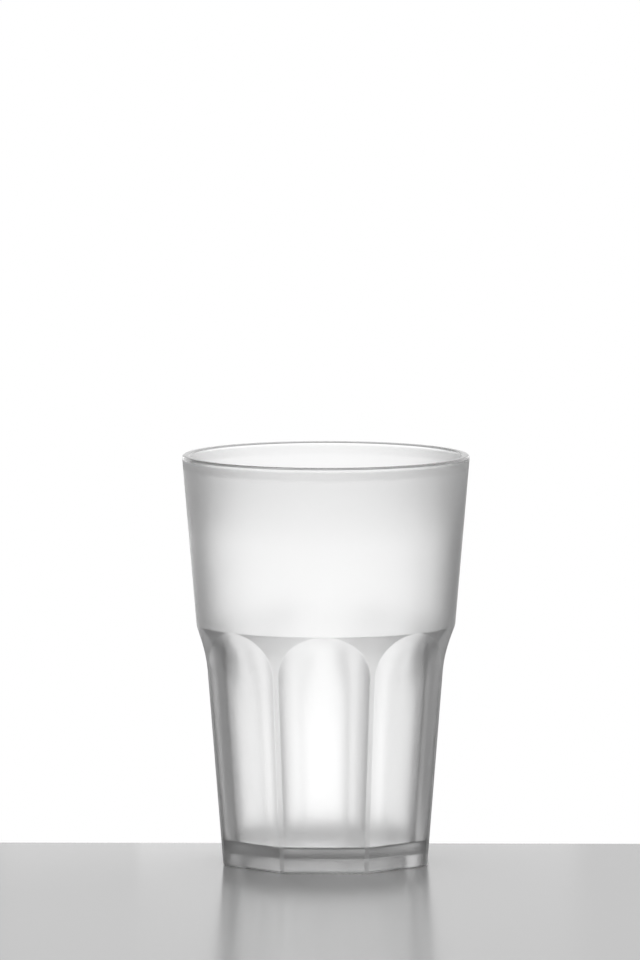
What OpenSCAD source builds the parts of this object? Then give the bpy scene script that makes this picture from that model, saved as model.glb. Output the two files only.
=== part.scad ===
// Plastic tumbler, moulded in one piece: a tapered round wall that turns into
// flat, arch-topped panels below, with a raised floor over a hollow foot.
// Millimetres, +Z up, origin at the centre of the foot, on the table.

/* [Body] */
// Overall height
height = 125; // [100:1:150]
// Outer diameter of the tapered wall, carried up to the rim
rim_d = 88; // [80:1:100]
// Outer diameter of the tapered wall, carried down to the table
foot_d = 66.8; // [60:0.2:74]
// Wall thickness, measured level, of the upper wall and in the middle of a panel
wall = 2.6; // [1.6:0.1:3.4]

/* [Panels] */
// Number of panels around the lower body
panel_count = 8; // [6:1:12]
// Height of the arch tops above the table
arch_z = 73; // [55:1:95]
// Width of the land that is left between two panels
land_w = 1.5; // [1:0.1:4]
// Radius of the curve in which each panel runs out into the wall
runout_r = 34; // [20:1:60]

/* [Inside] */
// Radius of the shoulder below the arch tops, where the inside narrows
shoulder_r = 100; // [60:5:140]
// How far the rounded corners of the inside stand out past its flat sides
corner = 0.7; // [0.4:0.1:1.2]

/* [Base] */
// Thickness of the floor at its edge
floor_t = 3.4; // [2.4:0.1:6]
// How far the floor dips towards its middle
dish = 1.2; // [0.4:0.1:1.6]
// Depth of the hollow under the floor
hollow_h = 4.2; // [1:0.1:6]
// Draft of the hollow's wall, in degrees
hollow_draft = 6; // [0:1:20]
// Width of the ring that the tumbler stands on, in the middle of a panel
ring_w = 3.6; // [2.5:0.1:6]
// Radius along the lower edge of the foot
foot_r = 0.8; // [0.3:0.1:1.5]

/* [Hidden] */
$fn = 128;

// How far a cut runs past the faces that it opens
past = 5;
// How far a round reaches past the line that it blends into, so that the two cross
bite = 0.01;

// The outside of the wall, as a line in the half-section
floor_z = hollow_h + floor_t;
wall_slope = (rim_d - foot_d) / 2 / height;
wall_tilt = atan(wall_slope);
function wall_point(z) = [foot_d / 2 + wall_slope * z, z];

// Distance from the axis to a panel that leaves the land its width at a height
function panel_distance(radius) =
    radius * cos(180 / panel_count - asin(land_w / 2 / radius));

// The panel's plane, as a line in the half-section through the middle of the panel
panel_foot = panel_distance(foot_d / 2);
panel_slope = (panel_distance(wall_point(arch_z)[0]) - panel_foot) / arch_z;
panel_tilt = atan(panel_slope);
panel_along = [sin(panel_tilt), cos(panel_tilt)];
panel_out = [cos(panel_tilt), -sin(panel_tilt)];
function panel_point(z) = [panel_foot + panel_slope * z, z];

// The run-out: a circle that rises from the panel's line and passes through the arch top
arch_top = wall_point(arch_z);
arch_gap = (arch_top - panel_point(arch_z)) * panel_out;
runout_length = sqrt(arch_gap * (2 * runout_r - arch_gap));
runout_start = arch_top - arch_gap * panel_out - runout_length * panel_along;
runout_centre = runout_start + (runout_r - bite) * panel_out;

// The inside's flat sides are parallel to the panels, and the shoulder is a circle that
// starts a little inside them and passes through the inner end of the arch level
inner_in = [wall, 0];
shoulder_in = 0.5;
shoulder_gap = arch_gap + shoulder_in;
shoulder_length = sqrt(shoulder_gap * (2 * shoulder_r - shoulder_gap));
shoulder_start = arch_top - shoulder_gap * panel_out - shoulder_length * panel_along - inner_in;
shoulder_centre = shoulder_start + (shoulder_r - bite) * panel_out;
facet_top = shoulder_start[1] + 0.75 * shoulder_length;

// The dish of the floor, as a circle about a point on the axis
floor_edge = panel_point(floor_z)[0] - wall + corner;
dish_r = (pow(floor_edge, 2) + pow(dish, 2)) / (2 * dish);

// The lip: a full round between the two faces of the wall
lip_r = wall * cos(wall_tilt) / 2;
lip_centre = wall_point(height - lip_r - bite) - [wall / 2, 0];
lip_side = lip_r * [cos(wall_tilt), -sin(wall_tilt)];

// What a round of radius r takes off the lower corner between a level line at z
// and a line that passes through the given point of it and leans out by tilt
module lower_corner(corner, r, tilt) {
    centre = corner + [r * tan(tilt) - r / cos(tilt), r];
    far = 2 * past;
    difference() {
        polygon([
            centre,
            centre + [0, -far],
            centre + [far, -far],
            centre + far * [1, -tan(tilt)],
        ]);
        translate(centre) circle(r + bite);
    }
}

// What a panel takes off, in the half-section through its middle
module panel_section() {
    far = rim_d * 0.75;
    polygon([
        panel_point(-past),
        runout_start,
        runout_centre,
        [far, runout_centre[1]],
        [far, -past],
    ]);
    translate(runout_centre) circle(runout_r);
    lower_corner(panel_point(0), foot_r, panel_tilt);
}

// The solid body of revolution with its lip
module body_section() {
    difference() {
        polygon([
            [0, 0],
            wall_point(0),
            lip_centre + lip_side,
            lip_centre - lip_side,
            [0, (lip_centre - lip_side)[1]],
        ]);
        lower_corner(wall_point(0), foot_r, wall_tilt);
    }
    translate(lip_centre) circle(lip_r + bite);
}

// The round part of the inside: the upper wall and the shoulder
module round_section() {
    above = height + past;
    low = shoulder_start - past * panel_along;
    difference() {
        polygon([
            [0, low[1]],
            low,
            shoulder_start,
            arch_top - inner_in,
            wall_point(above) - inner_in,
            [0, above],
        ]);
        translate(shoulder_centre) circle(shoulder_r);
    }
}

// The lower part of the inside, out to its rounded corners and down to the dished floor
module lower_section() {
    out = [corner - wall, 0];
    intersection() {
        polygon([
            [0, floor_z - past],
            panel_point(floor_z - past) + out,
            panel_point(facet_top) + out,
            [0, facet_top],
        ]);
        translate([0, floor_z - dish + dish_r]) circle(dish_r);
    }
}

// What one of the flat sides of the inside takes off the round corners
module flat_section() {
    far = rim_d * 0.75;
    polygon([
        panel_point(-past) - inner_in,
        panel_point(height) - inner_in,
        [far, height],
        [far, -past],
    ]);
}

// The hollow under the floor
module hollow_section() {
    mouth = panel_foot - ring_w;
    lean = tan(hollow_draft);
    polygon([
        [0, -past],
        [mouth + past * lean, -past],
        [mouth - hollow_h * lean, hollow_h],
        [0, hollow_h],
    ]);
}

// A section that runs straight across, set around the axis once for each panel
module around() {
    for (i = [0 : panel_count - 1])
        rotate([90, 0, i * 360 / panel_count])
            linear_extrude(height = rim_d, center = true) children();
}

module inside() {
    rotate_extrude() round_section();
    difference() {
        rotate_extrude() lower_section();
        around() flat_section();
    }
}

module tumbler() {
    color([0.93, 0.94, 0.95, 0.6])
    difference() {
        rotate_extrude() body_section();
        around() panel_section();
        inside();
        rotate_extrude() hollow_section();
    }
}

tumbler();
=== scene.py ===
import math

import bmesh
import bpy
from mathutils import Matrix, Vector


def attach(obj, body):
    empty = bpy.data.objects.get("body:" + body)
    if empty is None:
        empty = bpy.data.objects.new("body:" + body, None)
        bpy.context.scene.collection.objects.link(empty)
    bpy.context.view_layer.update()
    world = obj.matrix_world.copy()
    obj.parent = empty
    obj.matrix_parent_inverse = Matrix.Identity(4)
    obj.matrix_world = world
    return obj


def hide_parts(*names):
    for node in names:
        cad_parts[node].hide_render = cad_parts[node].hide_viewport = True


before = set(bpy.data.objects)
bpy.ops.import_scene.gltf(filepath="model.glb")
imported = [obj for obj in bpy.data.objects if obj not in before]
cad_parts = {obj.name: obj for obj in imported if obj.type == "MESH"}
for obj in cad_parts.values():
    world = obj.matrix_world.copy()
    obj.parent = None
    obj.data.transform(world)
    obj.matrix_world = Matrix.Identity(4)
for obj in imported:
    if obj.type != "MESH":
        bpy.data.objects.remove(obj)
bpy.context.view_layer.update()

# Everything about the tumbler is in millimetres here, and becomes metres in the mesh
MM = 0.001

# The tumbler's dimensions, as in the solid
HEIGHT = 125.0
RIM_R = 44.0  # outer radius of the tapered wall, carried up to the rim
TABLE_R = 33.4  # outer radius of the tapered wall, carried down to the table
WALL = 2.6
PANELS = 8
ARCH_Z = 73.0  # height of the arch tops
LAND_W = 1.5  # width of the land between two panels
RUNOUT_R = 34.0  # radius of the curve in which a panel runs out into the wall
SHOULDER_R = 100.0  # radius of the shoulder, where the inside narrows
SHOULDER_IN = 0.5  # how far inside the flat sides the shoulder starts
CORNER = 0.7  # how far the inside's round corners stand out past its flat sides
FLOOR_T = 3.4  # thickness of the floor at its edge
DISH = 1.2  # how far the floor dips towards its middle
HOLLOW_H = 4.2  # depth of the hollow under the floor
HOLLOW_DRAFT = math.radians(6)
RING_W = 3.6  # width of the ring that the tumbler stands on
FOOT_R = 0.8  # radius along the lower edge of the foot

# Rounds that only the scene has
LIP_R = 0.8  # along both edges of the lip
FLOOR_R = 0.5  # along the edge of the floor inside
MOUTH_R = 0.3  # along the lower edge of the hollow
CEILING_R = 0.8  # along the upper edge of the hollow

# How softly the other moulded edges turn, as four times the depth taken off them
EDGE_SOFT = 0.10
CORNER_SOFT = 0.8

# How rough each surface is
ROUGH = 0.3
ROUGH_LAND = 0.5
ROUGH_BAND = 0.47
ROUGH_COLLAR = 0.62
ROUGH_LIP = 0.05
ROUGH_INSIDE = 0.12
ROUGH_FLOOR = 0.05
ROUGH_UNDER = 0.3
ROUGH_CEILING = 0.5

# The outside grows rougher up a band below the rim, most of all in the collar at its top
BAND_H = 24.0
COLLAR_H = 4.4
COLLAR_STEP = 0.8

# Columns of points close in on the panels' edges, so that the soft edges are smooth
PANEL_STEPS = (1.0, 0.72, 0.5, 0.32, 0.17, 0.09, 0.045, 0.023, 0.013, 0.006, 0.0)
LAND_STEPS = (
    0.0, 0.006, 0.014, 0.025, 0.045, 0.08, 0.14, 0.23, 0.35, 0.5, 0.66, 0.83, 1.0
)

# How many rows of points each stretch of the section has
FOOT_ROWS = 6
PANEL_ROWS = 20
ARCH_ROWS = 44
WALL_ROWS = 16
BAND_ROWS = 8
LIP_ROWS = 10
INSIDE_ROWS = 20
SHOULDER_ROWS = 24
LOWER_ROWS = 12
FLOOR_ROUND_ROWS = 10
FLOOR_ROWS = 12
UNDER_ROWS = 5

# Distances of the closest rows from the arch tops, whose fine points they show
ABOVE_ARCH = (0, 0.02, 0.05, 0.09, 0.14, 0.2, 0.28, 0.38, 0.55, 0.8, 1.2, 1.8, 2.6, 4)
BELOW_ARCH = (0.03, 0.07, 0.12, 0.2, 0.4, 1)

# How far from a line or a corner the rows that lead to it start or end
ROW_GAP = 2.0
ARCH_LEAD = 1.0
LIP_LEAD = 1.0
MOUTH_LEAD = 1.2
CORNER_LEAD = 3.0
EDGE_REACH = 3.0  # how far above the arch tops the panels' soft edges may reach
EDGE_FALL = 0.2  # part of its dish by which the floor falls over a corner's lead
CEILING_END = 4.0  # radius of the last ring of the hollow's ceiling
CEILING_NEAR = 0.05  # how far below the ceiling its finish starts

# How close two angles, and two points in metres, count as the same
SAME_ANGLE = 1e-6
SAME_POINT = 1e-8

# The plastic and its grain
PLASTIC = (0.99, 0.99, 0.99, 1)
IOR = 1.58
DENSITY = 12.0  # how strongly thick places darken
GRAIN = 0.02  # how far the grain varies the roughness, up and down
GRAIN_SCALE = 1400.0  # grains to the metre
GRAIN_DETAIL, GRAIN_SHARP = 4.0, 0.6
GRAIN_LOW, GRAIN_HIGH = 0.3, 0.7  # the noise that counts as the smoothest and roughest
GRAIN_BUMP = 0.1
GRAIN_DEPTH = 0.00002  # relief in metres

# The table, in metres
TABLE = 0.4  # its grey
TABLE_ROUGH = 0.2
TABLE_REACH = 2.0  # to the front and the sides
TABLE_BACK = 0.0405  # as in the photo, it ends just behind the tumbler

# The studio as the plastic shows it: levels, and limits along a direction's x (side),
# y (back, front) and z (up, down, overhead, below)
WHITE, GREY = 1.0, 0.25  # the window behind the tumbler, and what is beside it
WHITE_MID = -0.03  # the window's middle
WHITE_SIDE, GREY_SIDE = 0.2, 0.38
WHITE_UP, GREY_UP = 0.05, 0.5
WHITE_DOWN, GREY_DOWN = -0.22, -0.38
BACK_FROM, BACK_TO = 0.0, 0.3
OVERHEAD, OVERHEAD_FROM, OVERHEAD_TO = 0.7, 0.5, 0.8
SIDES, SIDES_FROM, SIDES_TO = 0.4, 0.85, 0.98  # added to the grey far to the sides
FRONT, FRONT_FROM, FRONT_TO = 0.45, 0.1, -0.4  # added behind the camera
BELOW, BELOW_FROM, BELOW_TO = 0.5, -0.5, -0.75  # added steeply below
SOFT_LIGHT = 0.8  # level of the light from all around on matt surfaces

# Lamps: place, aim, width and height in metres, and how bright the lamp's face is
LAMPS = {
    "side_lamp": ((0.7, 0.9, 0.7), (0, 0, 0.06), 1.4, 1.4, 0.8),
    "fill_lamp": ((-0.5, 0.9, 0.2), (0, 0, 0.03), 0.5, 0.5, 0.9),
    "back_lamp": ((-0.02, 0.45, 0.0), (-0.02, 0, 0.0), 0.2, 0.12, 0.33),
    "low_lamp": ((-0.022, 0.14, 0.004), (-0.022, 0, 0.004), 0.08, 0.05, 0.16),
}

# Camera: far off with a long lens, a little above the rim
DISTANCE = 3.5
IMAGE_H = 960
PIXELS_PER_M = 3273.0
PITCH = math.radians(5.65)
TURN = math.radians(0.9)
AIM = Vector((-5.9 / PIXELS_PER_M, 0, 0.11715))
SENSOR = 36
FAR_END = 20

# What follows from the dimensions
FLOOR_Z = HOLLOW_H + FLOOR_T
SLOPE = (RIM_R - TABLE_R) / HEIGHT
TILT = math.atan(SLOPE)
SECTOR = math.pi / PANELS  # half the angle from one panel's middle to the next


def wall_r(z):
    """Outer radius of the tapered wall."""
    return TABLE_R + SLOPE * z


def panel_distance(radius):
    """Distance from the axis to a panel that leaves the land its width."""
    return radius * math.cos(SECTOR - math.asin(LAND_W / 2 / radius))


# The panel's line in the half-section, and the circles of its run-out and the shoulder
PANEL_FOOT = panel_distance(TABLE_R)
PANEL_SLOPE = (panel_distance(wall_r(ARCH_Z)) - PANEL_FOOT) / ARCH_Z
PANEL_TILT = math.atan(PANEL_SLOPE)
ALONG = Vector((math.sin(PANEL_TILT), math.cos(PANEL_TILT)))
OUT = Vector((math.cos(PANEL_TILT), -math.sin(PANEL_TILT)))
ARCH_TOP = Vector((wall_r(ARCH_Z), ARCH_Z))
ARCH_GAP = (ARCH_TOP - Vector((PANEL_FOOT + PANEL_SLOPE * ARCH_Z, ARCH_Z))).dot(OUT)
RUNOUT_LENGTH = math.sqrt(ARCH_GAP * (2 * RUNOUT_R - ARCH_GAP))
RUNOUT_START = ARCH_TOP - ARCH_GAP * OUT - RUNOUT_LENGTH * ALONG
RUNOUT_CENTRE = RUNOUT_START + RUNOUT_R * OUT
SHOULDER_GAP = ARCH_GAP + SHOULDER_IN
SHOULDER_LENGTH = math.sqrt(SHOULDER_GAP * (2 * SHOULDER_R - SHOULDER_GAP))
SHOULDER_START = ARCH_TOP - SHOULDER_GAP * OUT - SHOULDER_LENGTH * ALONG
SHOULDER_CENTRE = SHOULDER_START + SHOULDER_R * OUT


def panel_r(z):
    """Distance from the axis to a panel's middle: a line, then the run-out's arc."""
    if z <= RUNOUT_START.y:
        return PANEL_FOOT + PANEL_SLOPE * z
    rise = z - RUNOUT_CENTRE.y
    return RUNOUT_CENTRE.x - math.sqrt(max(RUNOUT_R**2 - rise**2, 0.0))


def soft_min(a, b, soft):
    """The smaller of two values, eased where they are close."""
    near = max(soft - abs(a - b), 0.0) / soft
    return min(a, b) - near * near * soft / 4


def outer_r(theta, z):
    """Radius of the outside, at an angle from a panel's middle."""
    if z > ARCH_Z + EDGE_REACH:
        return wall_r(z)
    return soft_min(wall_r(z), panel_r(z) / math.cos(theta), EDGE_SOFT)


def inside_r(theta, z):
    """Radius of the inside: the wall, the shoulder's arc, then soft flat sides."""
    if z >= ARCH_Z:
        return wall_r(z) - WALL
    flat = PANEL_FOOT + PANEL_SLOPE * z - WALL
    faceted = soft_min(flat + CORNER, flat / math.cos(theta), CORNER_SOFT)
    if z <= SHOULDER_START.y:
        return faceted
    rise = z - SHOULDER_CENTRE.y
    shoulder = SHOULDER_CENTRE.x - math.sqrt(SHOULDER_R**2 - rise**2) - WALL
    return -soft_min(-shoulder, -faceted, CORNER_SOFT)


def edge_angle(z):
    """Half the angle that a panel takes at a height, zero from the arch top up."""
    if z >= ARCH_Z:
        return 0.0
    return math.acos(min(panel_r(z) / wall_r(z), 1.0))


def sector_columns(z, panels):
    """Angles across one sector, up to the next one's first.

    Without panels, only the lands' columns and the middle one are left.
    """
    edge = edge_angle(z)
    panel = [edge * (1 - step) for step in PANEL_STEPS]
    land = [edge + (SECTOR - edge) * step for step in LAND_STEPS]
    left = [-a for a in reversed(land[1:])]
    right = land[1:-1]
    if not panels:
        return left + [0.0] + right
    return left + [-a for a in reversed(panel[1:])] + panel + right


def spread(a, b, count):
    """Even steps from a to b, both included."""
    return [a + (b - a) * i / count for i in range(count + 1)]


def rounded(points, radii, steps):
    """A polyline with its inner corners turned into arcs."""
    out = [points[0]]
    for i in range(1, len(points) - 1):
        p = Vector(points[i])
        a = (Vector(points[i - 1]) - p).normalized()
        b = (Vector(points[i + 1]) - p).normalized()
        half = a.angle(b) / 2
        r = radii[i - 1]
        centre = p + (a + b).normalized() * (r / math.sin(half))
        start = p + a * (r / math.tan(half)) - centre
        end = p + b * (r / math.tan(half)) - centre
        turn = start.angle(end)
        for k in range(steps + 1):
            t = k / steps
            arm = start * math.sin((1 - t) * turn) + end * math.sin(t * turn)
            out.append(tuple(centre + arm / math.sin(turn)))
    out.append(points[-1])
    return out


class Shell:
    """Collects rings of points about the axis, the roughness at each point, and the
    faces between the rings."""

    def __init__(self):
        self.points = []
        self.faces = []
        self.skin = []
        self.rough = ROUGH

    def ring(self, panels, angles_z, place, land=None):
        """Adds one ring, with its angles as at a height, and gives its points' numbers."""
        first = len(self.points)
        columns = sector_columns(angles_z, panels)
        edge = edge_angle(angles_z)
        for sector in range(PANELS):
            middle = -math.pi / 2 + 2 * SECTOR * sector
            for theta in columns:
                r, z = place(theta)
                a = middle + theta
                self.points.append((r * MM * math.cos(a), r * MM * math.sin(a), z * MM))
                on_land = land and abs(theta) > edge + SAME_ANGLE
                self.skin.append(land if on_land else self.rough)
        return list(range(first, len(self.points)))

    def centre(self, z):
        """Adds a point on the axis."""
        self.points.append((0.0, 0.0, z * MM))
        self.skin.append(self.rough)
        return [len(self.points) - 1]

    def bridge(self, low, high):
        """Joins two rings of the same columns, or a ring with panels to one without."""
        count = len(low)
        if len(high) == 1:
            to = [high[0]] * count
        elif len(high) == count:
            to = high
        else:
            lands = len(LAND_STEPS) - 1
            wide = count // PANELS
            narrow = len(high) // PANELS
            to = []
            for i in range(count):
                sector, j = divmod(i, wide)
                if j < lands:
                    k = j
                elif j < wide - lands + 1:
                    k = lands
                else:
                    k = j - wide + narrow
                to.append(high[sector * narrow + k])
        for i in range(count):
            n = (i + 1) % count
            face = []
            for v in (low[i], low[n], to[n], to[i]):
                if v not in face:
                    face.append(v)
            if len(face) > 2:
                self.faces.append(face)


def outside_rows(shell):
    """From the foot's round up the panels and the plain wall to the collar."""
    rows = []
    for turn in spread(math.pi / 2, 0, FOOT_ROWS)[:-1]:
        z = FOOT_R * (1 - math.sin(turn))
        back = FOOT_R * (1 - math.cos(turn))
        rows.append(
            shell.ring(
                True, FOOT_R, lambda t, z=z, back=back: (outer_r(t, FOOT_R) - back, z)
            )
        )

    def panelled(z, land):
        rows.append(shell.ring(True, z, lambda t: (outer_r(t, z), z), land))

    def plain(z):
        rows.append(shell.ring(False, ARCH_Z, lambda t: (outer_r(t, z), z)))

    for z in spread(FOOT_R, RUNOUT_START.y - ARCH_LEAD, PANEL_ROWS):
        panelled(z, ROUGH_LAND)
    arch_h = ARCH_Z - RUNOUT_START.y + ARCH_LEAD
    for part in spread(1, 0, ARCH_ROWS)[1:-1]:
        panelled(ARCH_Z - arch_h * part * part, ROUGH + (ROUGH_LAND - ROUGH) * part)

    band_z = HEIGHT - BAND_H
    for rise in ABOVE_ARCH:
        plain(ARCH_Z + rise)
    for z in spread(ARCH_Z + ABOVE_ARCH[-1], band_z, WALL_ROWS)[1:]:
        plain(z)
    for part in spread(0, 1, BAND_ROWS)[1:]:
        shell.rough = ROUGH + (ROUGH_BAND - ROUGH) * part * (2 - part)
        plain(band_z + (BAND_H - COLLAR_H) * part)
    shell.rough = ROUGH_COLLAR
    plain(HEIGHT - COLLAR_H + COLLAR_STEP)
    plain(HEIGHT - 2 * LIP_R)
    return rows


def lip_rows(shell):
    """Over the lip, round its outer and its inner edge."""
    shell.rough = ROUGH_LIP
    lip_z = HEIGHT - LIP_R
    outer_x = wall_r(lip_z) - LIP_R / math.cos(TILT)
    inner_x = wall_r(lip_z) - WALL + LIP_R / math.cos(TILT)
    turns = [(outer_x, turn) for turn in spread(-TILT, math.pi / 2, LIP_ROWS)]
    turns += [(inner_x, turn) for turn in spread(math.pi / 2, math.pi - TILT, LIP_ROWS)]
    rows = []
    for x, turn in turns:
        r, z = x + LIP_R * math.cos(turn), lip_z + LIP_R * math.sin(turn)
        rows.append(shell.ring(False, ARCH_Z, lambda t, r=r, z=z: (r, z)))
    return rows


def inside_rows(shell):
    """Down the inside, one wall thickness in, to the dished floor and its middle."""
    top = HEIGHT - LIP_R - LIP_LEAD
    heights = spread(top, ARCH_Z + ABOVE_ARCH[-1], INSIDE_ROWS)[:-1]
    heights += [ARCH_Z + rise for rise in reversed(ABOVE_ARCH)]
    heights += [ARCH_Z - drop for drop in BELOW_ARCH]
    heights += spread(ARCH_Z - ROW_GAP, SHOULDER_START.y, SHOULDER_ROWS)
    low = SHOULDER_START.y - ROW_GAP
    heights += spread(low, FLOOR_Z + FLOOR_R, LOWER_ROWS)[:-1]
    rows = []
    shell.rough = ROUGH_INSIDE
    for z in heights:
        rows.append(shell.ring(False, ARCH_Z, lambda t, z=z: (inside_r(t, z), z)))

    edge = PANEL_FOOT + PANEL_SLOPE * FLOOR_Z - WALL
    corner = [
        (edge + PANEL_SLOPE * CORNER_LEAD, FLOOR_Z + CORNER_LEAD),
        (edge, FLOOR_Z),
        (edge - CORNER_LEAD, FLOOR_Z - DISH * EDGE_FALL),
    ]
    for r, z in rounded(corner, [FLOOR_R], FLOOR_ROUND_ROWS)[1:-1]:
        rows.append(
            shell.ring(
                False,
                ARCH_Z,
                lambda t, r=r, z=z: (inside_r(t, FLOOR_Z) - edge + r, z),
            )
        )
    shell.rough = ROUGH_FLOOR
    for i in range(1, FLOOR_ROWS):
        part = 1 - i / FLOOR_ROWS
        z = FLOOR_Z - DISH * (1 - part * part)
        rows.append(
            shell.ring(
                False, ARCH_Z, lambda t, k=part, z=z: (inside_r(t, FLOOR_Z) * k, z)
            )
        )
    rows.append(shell.centre(FLOOR_Z - DISH))
    return rows


def under_rows(shell):
    """Under the foot: the standing ring, the hollow's wall and its ceiling."""
    mouth = PANEL_FOOT - RING_W
    section = [
        (mouth + MOUTH_LEAD, 0.0),
        (mouth, 0.0),
        (mouth - HOLLOW_H * math.tan(HOLLOW_DRAFT), HOLLOW_H),
        (CEILING_END, HOLLOW_H),
    ]
    rows = []
    shell.rough = ROUGH_UNDER
    for r, z in rounded(section, [MOUTH_R, CEILING_R], UNDER_ROWS):
        if z > HOLLOW_H - CEILING_NEAR:
            shell.rough = ROUGH_CEILING
        rows.append(shell.ring(True, FOOT_R, lambda t, r=r, z=z: (r, z)))
    rows.append(shell.centre(HOLLOW_H))
    return rows


def tumbler_mesh():
    """One closed mesh, with the roughness of each point in its attribute skin."""
    shell = Shell()
    rows = outside_rows(shell) + lip_rows(shell) + inside_rows(shell)
    for a, b in zip(rows, rows[1:]):
        shell.bridge(a, b)
    under = [rows[0]] + under_rows(shell)
    for a, b in zip(under, under[1:]):
        shell.bridge(a, b)

    mesh = bpy.data.meshes.new("tumbler_body")
    mesh.from_pydata(shell.points, [], shell.faces)
    skin = mesh.attributes.new("skin", "FLOAT", "POINT")
    skin.data.foreach_set("value", shell.skin)
    mesh.validate()
    mesh.update()

    bm = bmesh.new()
    bm.from_mesh(mesh)
    bmesh.ops.remove_doubles(bm, verts=bm.verts, dist=SAME_POINT)
    bmesh.ops.recalc_face_normals(bm, faces=bm.faces)
    for face in bm.faces:
        face.smooth = True
    bm.to_mesh(mesh)
    bm.free()
    return mesh


def node(tree, kind, **inputs):
    """Adds a node and sets its inputs by name."""
    n = tree.nodes.new(kind)
    for name, value in inputs.items():
        n.inputs[name.replace("_", " ")].default_value = value
    return n


def ramp(tree, value, start, end, low, high):
    """A soft step from low to high, as the value goes from start to end."""
    n = node(
        tree,
        "ShaderNodeMapRange",
        From_Min=start,
        From_Max=end,
        To_Min=low,
        To_Max=high,
    )
    n.interpolation_type = "SMOOTHSTEP"
    tree.links.new(value, n.inputs["Value"])
    return n.outputs["Result"]


def maths(tree, operation, *values):
    """One operation on numbers and sockets."""
    n = tree.nodes.new("ShaderNodeMath")
    n.operation = operation
    for socket, value in zip(n.inputs, values):
        if isinstance(value, (int, float)):
            socket.default_value = value
        else:
            tree.links.new(value, socket)
    return n.outputs[0]


def frosted_plastic():
    """Clear plastic whose skin scatters light: smooth or rough by place, with a fine
    grain in roughness and relief, and darker where it is thick."""
    material = bpy.data.materials.new("frosted_plastic")
    material.use_nodes = True
    tree = material.node_tree
    bsdf = tree.nodes["Principled BSDF"]
    bsdf.inputs["Base Color"].default_value = PLASTIC
    bsdf.inputs["Transmission Weight"].default_value = 1.0
    bsdf.inputs["IOR"].default_value = IOR
    coords = tree.nodes.new("ShaderNodeTexCoord")
    grain = node(
        tree,
        "ShaderNodeTexNoise",
        Scale=GRAIN_SCALE,
        Detail=GRAIN_DETAIL,
        Roughness=GRAIN_SHARP,
    )
    tree.links.new(coords.outputs["Object"], grain.inputs["Vector"])
    skin = tree.nodes.new("ShaderNodeAttribute")
    skin.attribute_name = "skin"
    variation = ramp(tree, grain.outputs["Fac"], GRAIN_LOW, GRAIN_HIGH, -GRAIN, GRAIN)
    rough = maths(tree, "ADD", skin.outputs["Fac"], variation)
    tree.links.new(rough, bsdf.inputs["Roughness"])
    bump = node(tree, "ShaderNodeBump", Strength=GRAIN_BUMP, Distance=GRAIN_DEPTH)
    tree.links.new(grain.outputs["Fac"], bump.inputs["Height"])
    tree.links.new(bump.outputs["Normal"], bsdf.inputs["Normal"])
    tint = node(
        tree, "ShaderNodeVolumeAbsorption", Color=(0, 0, 0, 1), Density=DENSITY
    )
    output = tree.nodes["Material Output"]
    tree.links.new(tint.outputs["Volume"], output.inputs["Volume"])
    return material


def table():
    """A plain table top."""
    left, right, front = -TABLE_REACH, TABLE_REACH, -TABLE_REACH
    corners = [
        (left, front, 0),
        (right, front, 0),
        (right, TABLE_BACK, 0),
        (left, TABLE_BACK, 0),
    ]
    mesh = bpy.data.meshes.new("floor")
    mesh.from_pydata(corners, [], [(0, 1, 2, 3)])
    material = bpy.data.materials.new("floor")
    material.use_nodes = True
    bsdf = material.node_tree.nodes["Principled BSDF"]
    bsdf.inputs["Base Color"].default_value = (TABLE, TABLE, TABLE, 1)
    bsdf.inputs["Roughness"].default_value = TABLE_ROUGH
    mesh.materials.append(material)
    return bpy.data.objects.new("floor", mesh)


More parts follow.
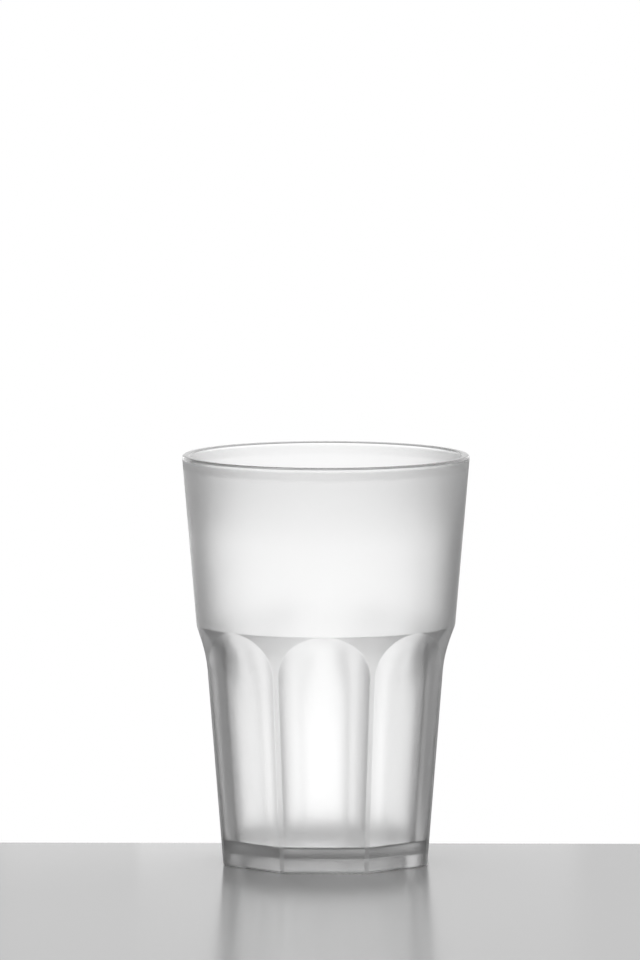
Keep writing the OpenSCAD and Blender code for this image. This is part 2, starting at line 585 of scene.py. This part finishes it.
def studio():
    """The world: white to the camera, soft light on matt surfaces, and in reflections
    and through the plastic the window with the greys around it."""
    world = bpy.data.worlds.new("studio")
    world.use_nodes = True
    tree = world.node_tree
    tree.nodes.clear()
    coords = tree.nodes.new("ShaderNodeTexCoord")
    way = tree.nodes.new("ShaderNodeSeparateXYZ")
    tree.links.new(coords.outputs["Generated"], way.inputs[0])
    across, back, up = (way.outputs[axis] for axis in "XYZ")
    aside = maths(tree, "ABSOLUTE", maths(tree, "SUBTRACT", across, WHITE_MID))

    sideways = ramp(tree, aside, WHITE_SIDE, GREY_SIDE, 1.0, 0.0)
    upward = ramp(tree, up, WHITE_UP, GREY_UP, 1.0, 0.0)
    downward = ramp(tree, up, GREY_DOWN, WHITE_DOWN, 0.0, 1.0)
    updown = maths(tree, "MULTIPLY", upward, downward)
    ahead = ramp(tree, back, BACK_FROM, BACK_TO, 0.0, 1.0)
    window = maths(tree, "MULTIPLY", maths(tree, "MULTIPLY", sideways, updown), ahead)

    around = ramp(tree, up, OVERHEAD_FROM, OVERHEAD_TO, GREY, OVERHEAD)
    for value, start, end, light in (
        (aside, SIDES_FROM, SIDES_TO, SIDES),
        (back, FRONT_FROM, FRONT_TO, FRONT),
        (up, BELOW_FROM, BELOW_TO, BELOW),
    ):
        around = maths(tree, "ADD", around, ramp(tree, value, start, end, 0.0, light))
    behind = maths(tree, "MULTIPLY_ADD", window, WHITE - GREY, around)

    path = tree.nodes.new("ShaderNodeLightPath")
    glossy = path.outputs["Is Glossy Ray"]
    transmitted = path.outputs["Is Transmission Ray"]
    through = tree.nodes.new("ShaderNodeMix")
    through.inputs["A"].default_value = SOFT_LIGHT
    tree.links.new(maths(tree, "MAXIMUM", glossy, transmitted), through.inputs["Factor"])
    tree.links.new(behind, through.inputs["B"])
    level = tree.nodes.new("ShaderNodeMix")
    level.inputs["B"].default_value = 1.0
    tree.links.new(path.outputs["Is Camera Ray"], level.inputs["Factor"])
    tree.links.new(through.outputs["Result"], level.inputs["A"])
    backdrop = node(tree, "ShaderNodeBackground", Color=(1, 1, 1, 1))
    tree.links.new(level.outputs["Result"], backdrop.inputs["Strength"])
    output = tree.nodes.new("ShaderNodeOutputWorld")
    tree.links.new(backdrop.outputs["Background"], output.inputs["Surface"])
    return world


def soft_lamp(name, place, aim, width, height, glow):
    """A rectangular lamp whose face is as bright as a surface of that level."""
    data = bpy.data.lights.new(name, "AREA")
    data.shape = "RECTANGLE"
    data.size = width
    data.size_y = height
    data.energy = glow * math.pi * width * height
    lamp = bpy.data.objects.new(name, data)
    lamp.location = place
    lamp.visible_camera = False
    way = Vector(aim) - lamp.location
    lamp.rotation_euler = way.to_track_quat("-Z", "Y").to_euler()
    return lamp


def photo_camera():
    """A camera at the photograph's viewing angle."""
    data = bpy.data.cameras.new("camera")
    data.sensor_fit = "VERTICAL"
    data.sensor_height = SENSOR
    data.lens = PIXELS_PER_M * DISTANCE * SENSOR / IMAGE_H
    data.clip_end = FAR_END
    camera = bpy.data.objects.new("camera", data)
    away = Vector((
        math.sin(TURN) * math.cos(PITCH),
        -math.cos(TURN) * math.cos(PITCH),
        math.sin(PITCH),
    ))
    camera.location = AIM + DISTANCE * away
    camera.rotation_euler = (-away).to_track_quat("-Z", "Y").to_euler()
    return camera


scene = bpy.context.scene

tumbler = bpy.data.objects.new("tumbler_body", tumbler_mesh())
tumbler.data.materials.append(frosted_plastic())
scene.collection.objects.link(tumbler)
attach(tumbler, "root")
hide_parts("tumbler")

floor = table()
scene.collection.objects.link(floor)

scene.world = studio()
for name, values in LAMPS.items():
    scene.collection.objects.link(soft_lamp(name, *values))
scene.camera = photo_camera()
scene.collection.objects.link(scene.camera)
scene.view_settings.view_transform = "Standard"
